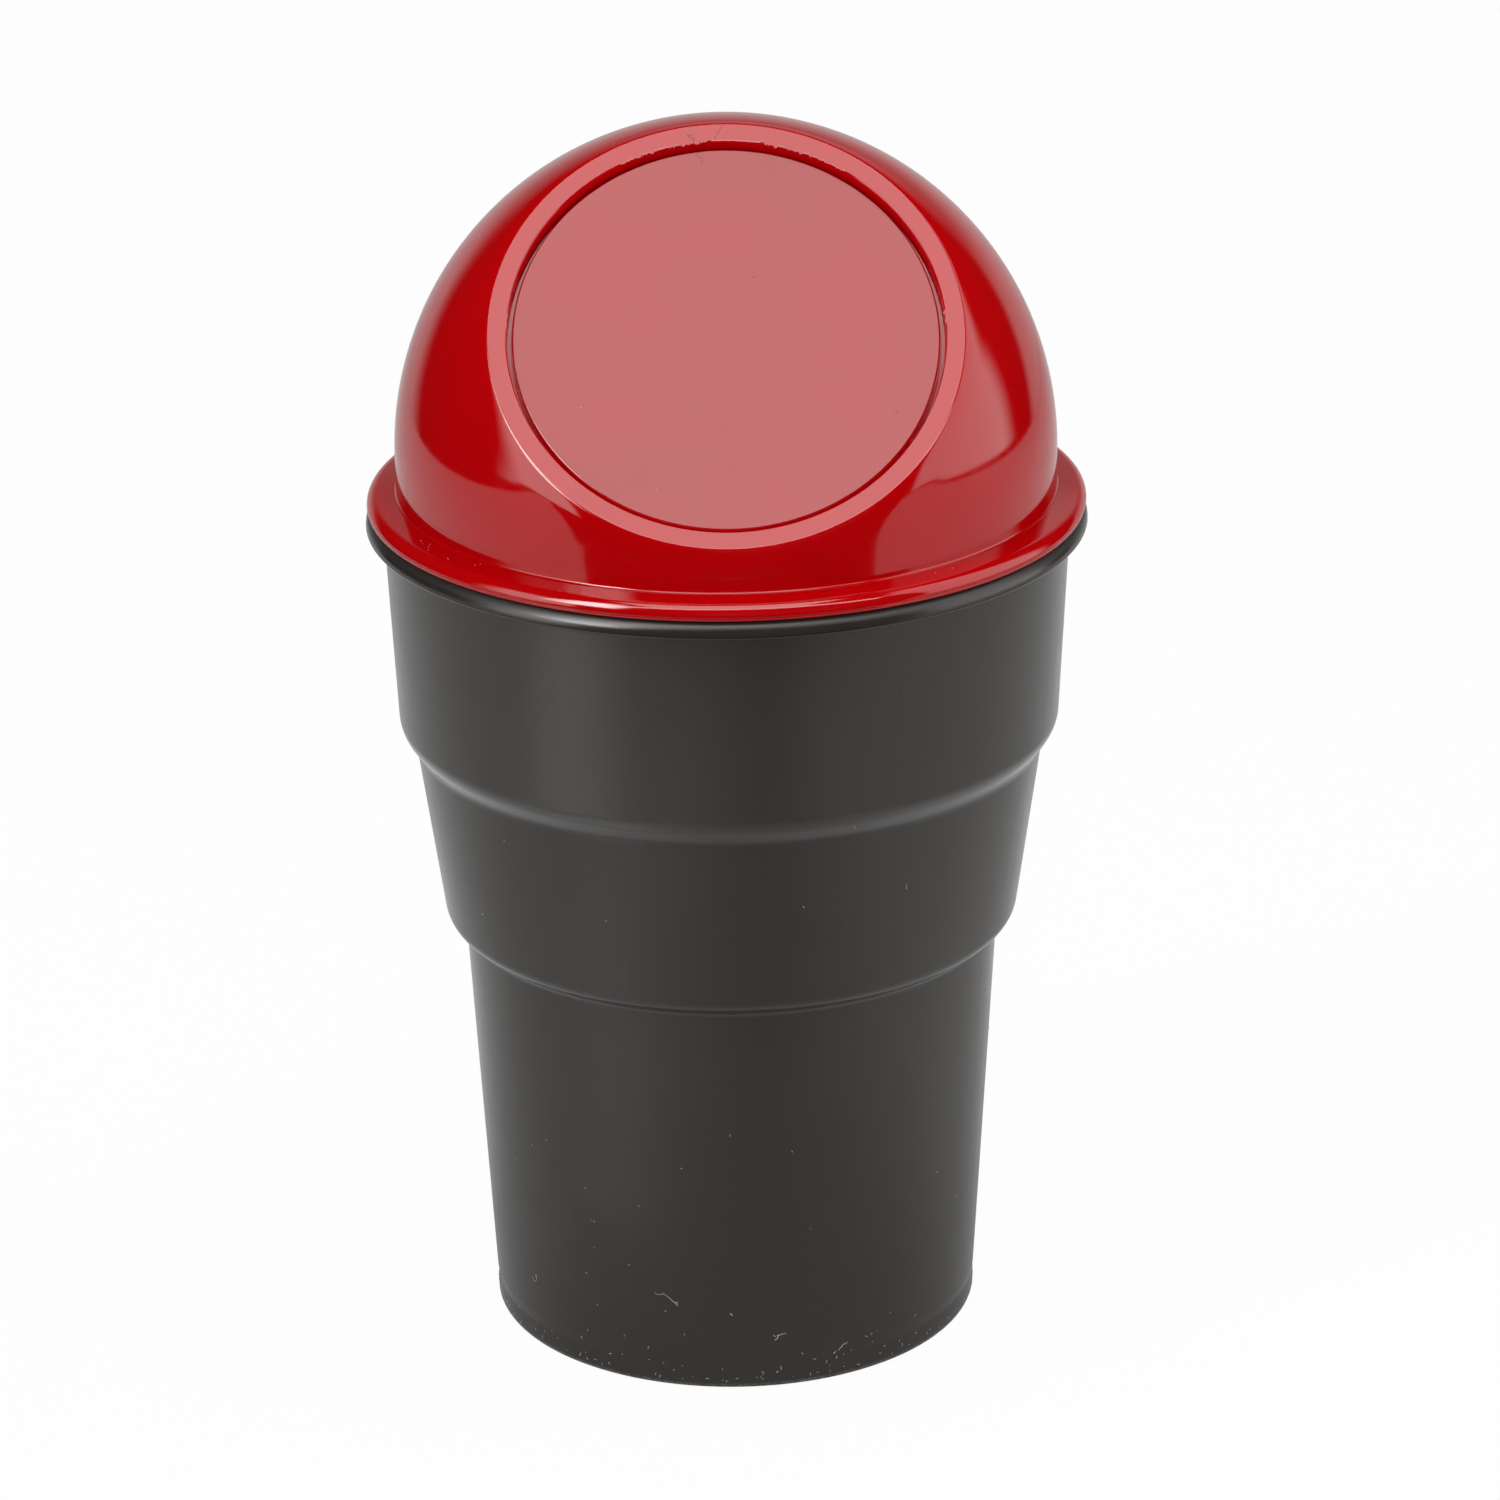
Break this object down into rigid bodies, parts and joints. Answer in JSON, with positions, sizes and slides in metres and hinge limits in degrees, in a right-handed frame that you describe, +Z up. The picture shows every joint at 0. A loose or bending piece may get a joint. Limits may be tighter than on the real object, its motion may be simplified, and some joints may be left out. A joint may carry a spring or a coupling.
{
  "type": "car trash bin",
  "caption": "Car cup-holder trash bin: a stepped, tapering black cup, a lift-off red domed lid and a round push flap set in the dome's sloping face and shut by a spring.",
  "frame": {"origin": "centre of the foot, on the surface that the bin stands on", "axes": "+Z up along the cup's axis; the sloping face with the flap looks towards -Y and +Z"},
  "size_m": [0.0902, 0.0902, 0.1573],
  "materials": {
    "black_plastic": "satin moulded, fine matte grain",
    "red_plastic": "high gloss moulded",
    "flap_plastic": "gloss moulded, a little softer than the dome",
    "pin_steel": "drawn steel rod",
    "spring_wire": "spring wire"
  },
  "bodies": {
    "bin": {"bin_cup": "black_plastic"},
    "lid": {"dome_lid": "red_plastic", "hinge_pin": "pin_steel", "return_spring": "spring_wire"},
    "flap": {"swing_flap": "flap_plastic"}
  },
  "joints": [
    {"name": "lid_lift", "type": "slide", "parent": "bin", "child": "lid", "axis": [0, 0, 1], "range_m": [0, 0.05]},
    {"name": "flap_swing", "type": "hinge", "parent": "lid", "child": "flap", "pos_m": [0, 0.00173, 0.15008], "axis": [1, 0, 0], "range_deg": [0, 65], "stiffness_Nm_per_rad": 0.018, "springref_deg": -40.11, "deforming": ["return_spring"]}
  ]
}
